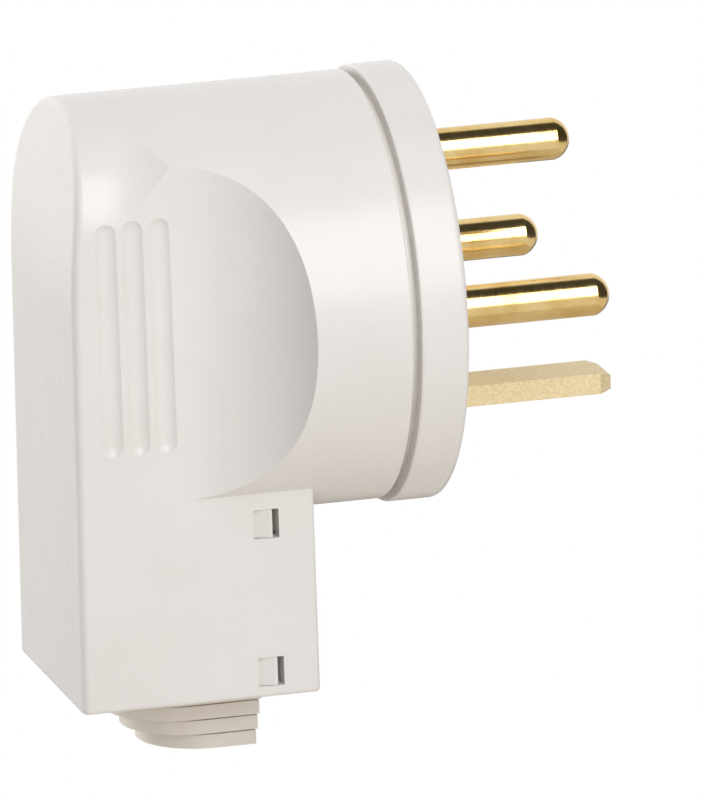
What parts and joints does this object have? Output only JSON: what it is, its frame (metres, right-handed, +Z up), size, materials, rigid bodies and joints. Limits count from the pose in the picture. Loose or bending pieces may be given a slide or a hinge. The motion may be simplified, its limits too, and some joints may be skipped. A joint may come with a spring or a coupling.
{
  "type": "three-phase power plug",
  "caption": "Side-entry plug: round pins and a flat earth blade on a round base, a moulded housing with finger scoops and grip grooves, and a cable block with a stepped grommet below.",
  "frame": {"origin": "middle of the front face of the contact base", "axes": "+X out of the front face along the pins, +Z up towards the top pin, away from the cable, +Y to the left pin"},
  "size_m": [0.0822, 0.062, 0.0939],
  "materials": {
    "shell": "ivory moulded plastic, satin",
    "grommet": "ivory soft rubber",
    "pins": "bright turned brass",
    "fasteners": "zinc-plated steel",
    "inserts": "grey moulded plastic"
  },
  "bodies": {
    "root": {"housing": "shell", "contact_base": "shell", "snap_cover": "shell", "cable_grommet": "grommet", "line_pin_top": "pins", "line_pin_left": "pins", "line_pin_right": "pins", "earth_blade": "pins", "earth_terminal": "pins", "wire_saddle_top": "fasteners", "wire_saddle_left": "fasteners", "wire_saddle_right": "fasteners", "wire_saddle_earth": "fasteners", "terminal_screws": "fasteners", "retainer_screws": "fasteners", "base_screws": "fasteners", "clamp_screws": "fasteners", "clamp_nuts": "fasteners", "pin_retainer": "inserts", "cable_clamp_bar": "inserts"}
  },
  "joints": []
}
